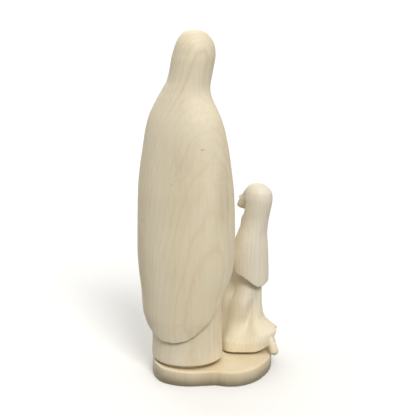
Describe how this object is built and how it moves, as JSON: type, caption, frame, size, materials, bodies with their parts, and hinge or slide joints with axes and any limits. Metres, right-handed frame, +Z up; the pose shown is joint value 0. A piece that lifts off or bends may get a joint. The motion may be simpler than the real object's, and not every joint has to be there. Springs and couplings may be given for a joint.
{
  "type": "madonna and saint statue",
  "caption": "Carved maple statue of a standing veiled madonna with a saint kneeling beside her, both on one low base.",
  "frame": {"origin": "middle of the base's flat underside, on the surface the statue stands on", "axes": "+Z up along the statue; the figures' fronts look towards -Y and the pictured back faces +Y"},
  "size_m": [0.1244, 0.0914, 0.3],
  "materials": {
    "maple": "bare pale maple, sanded smooth"
  },
  "bodies": {
    "root": {"madonna_and_saint": "maple"}
  },
  "joints": []
}
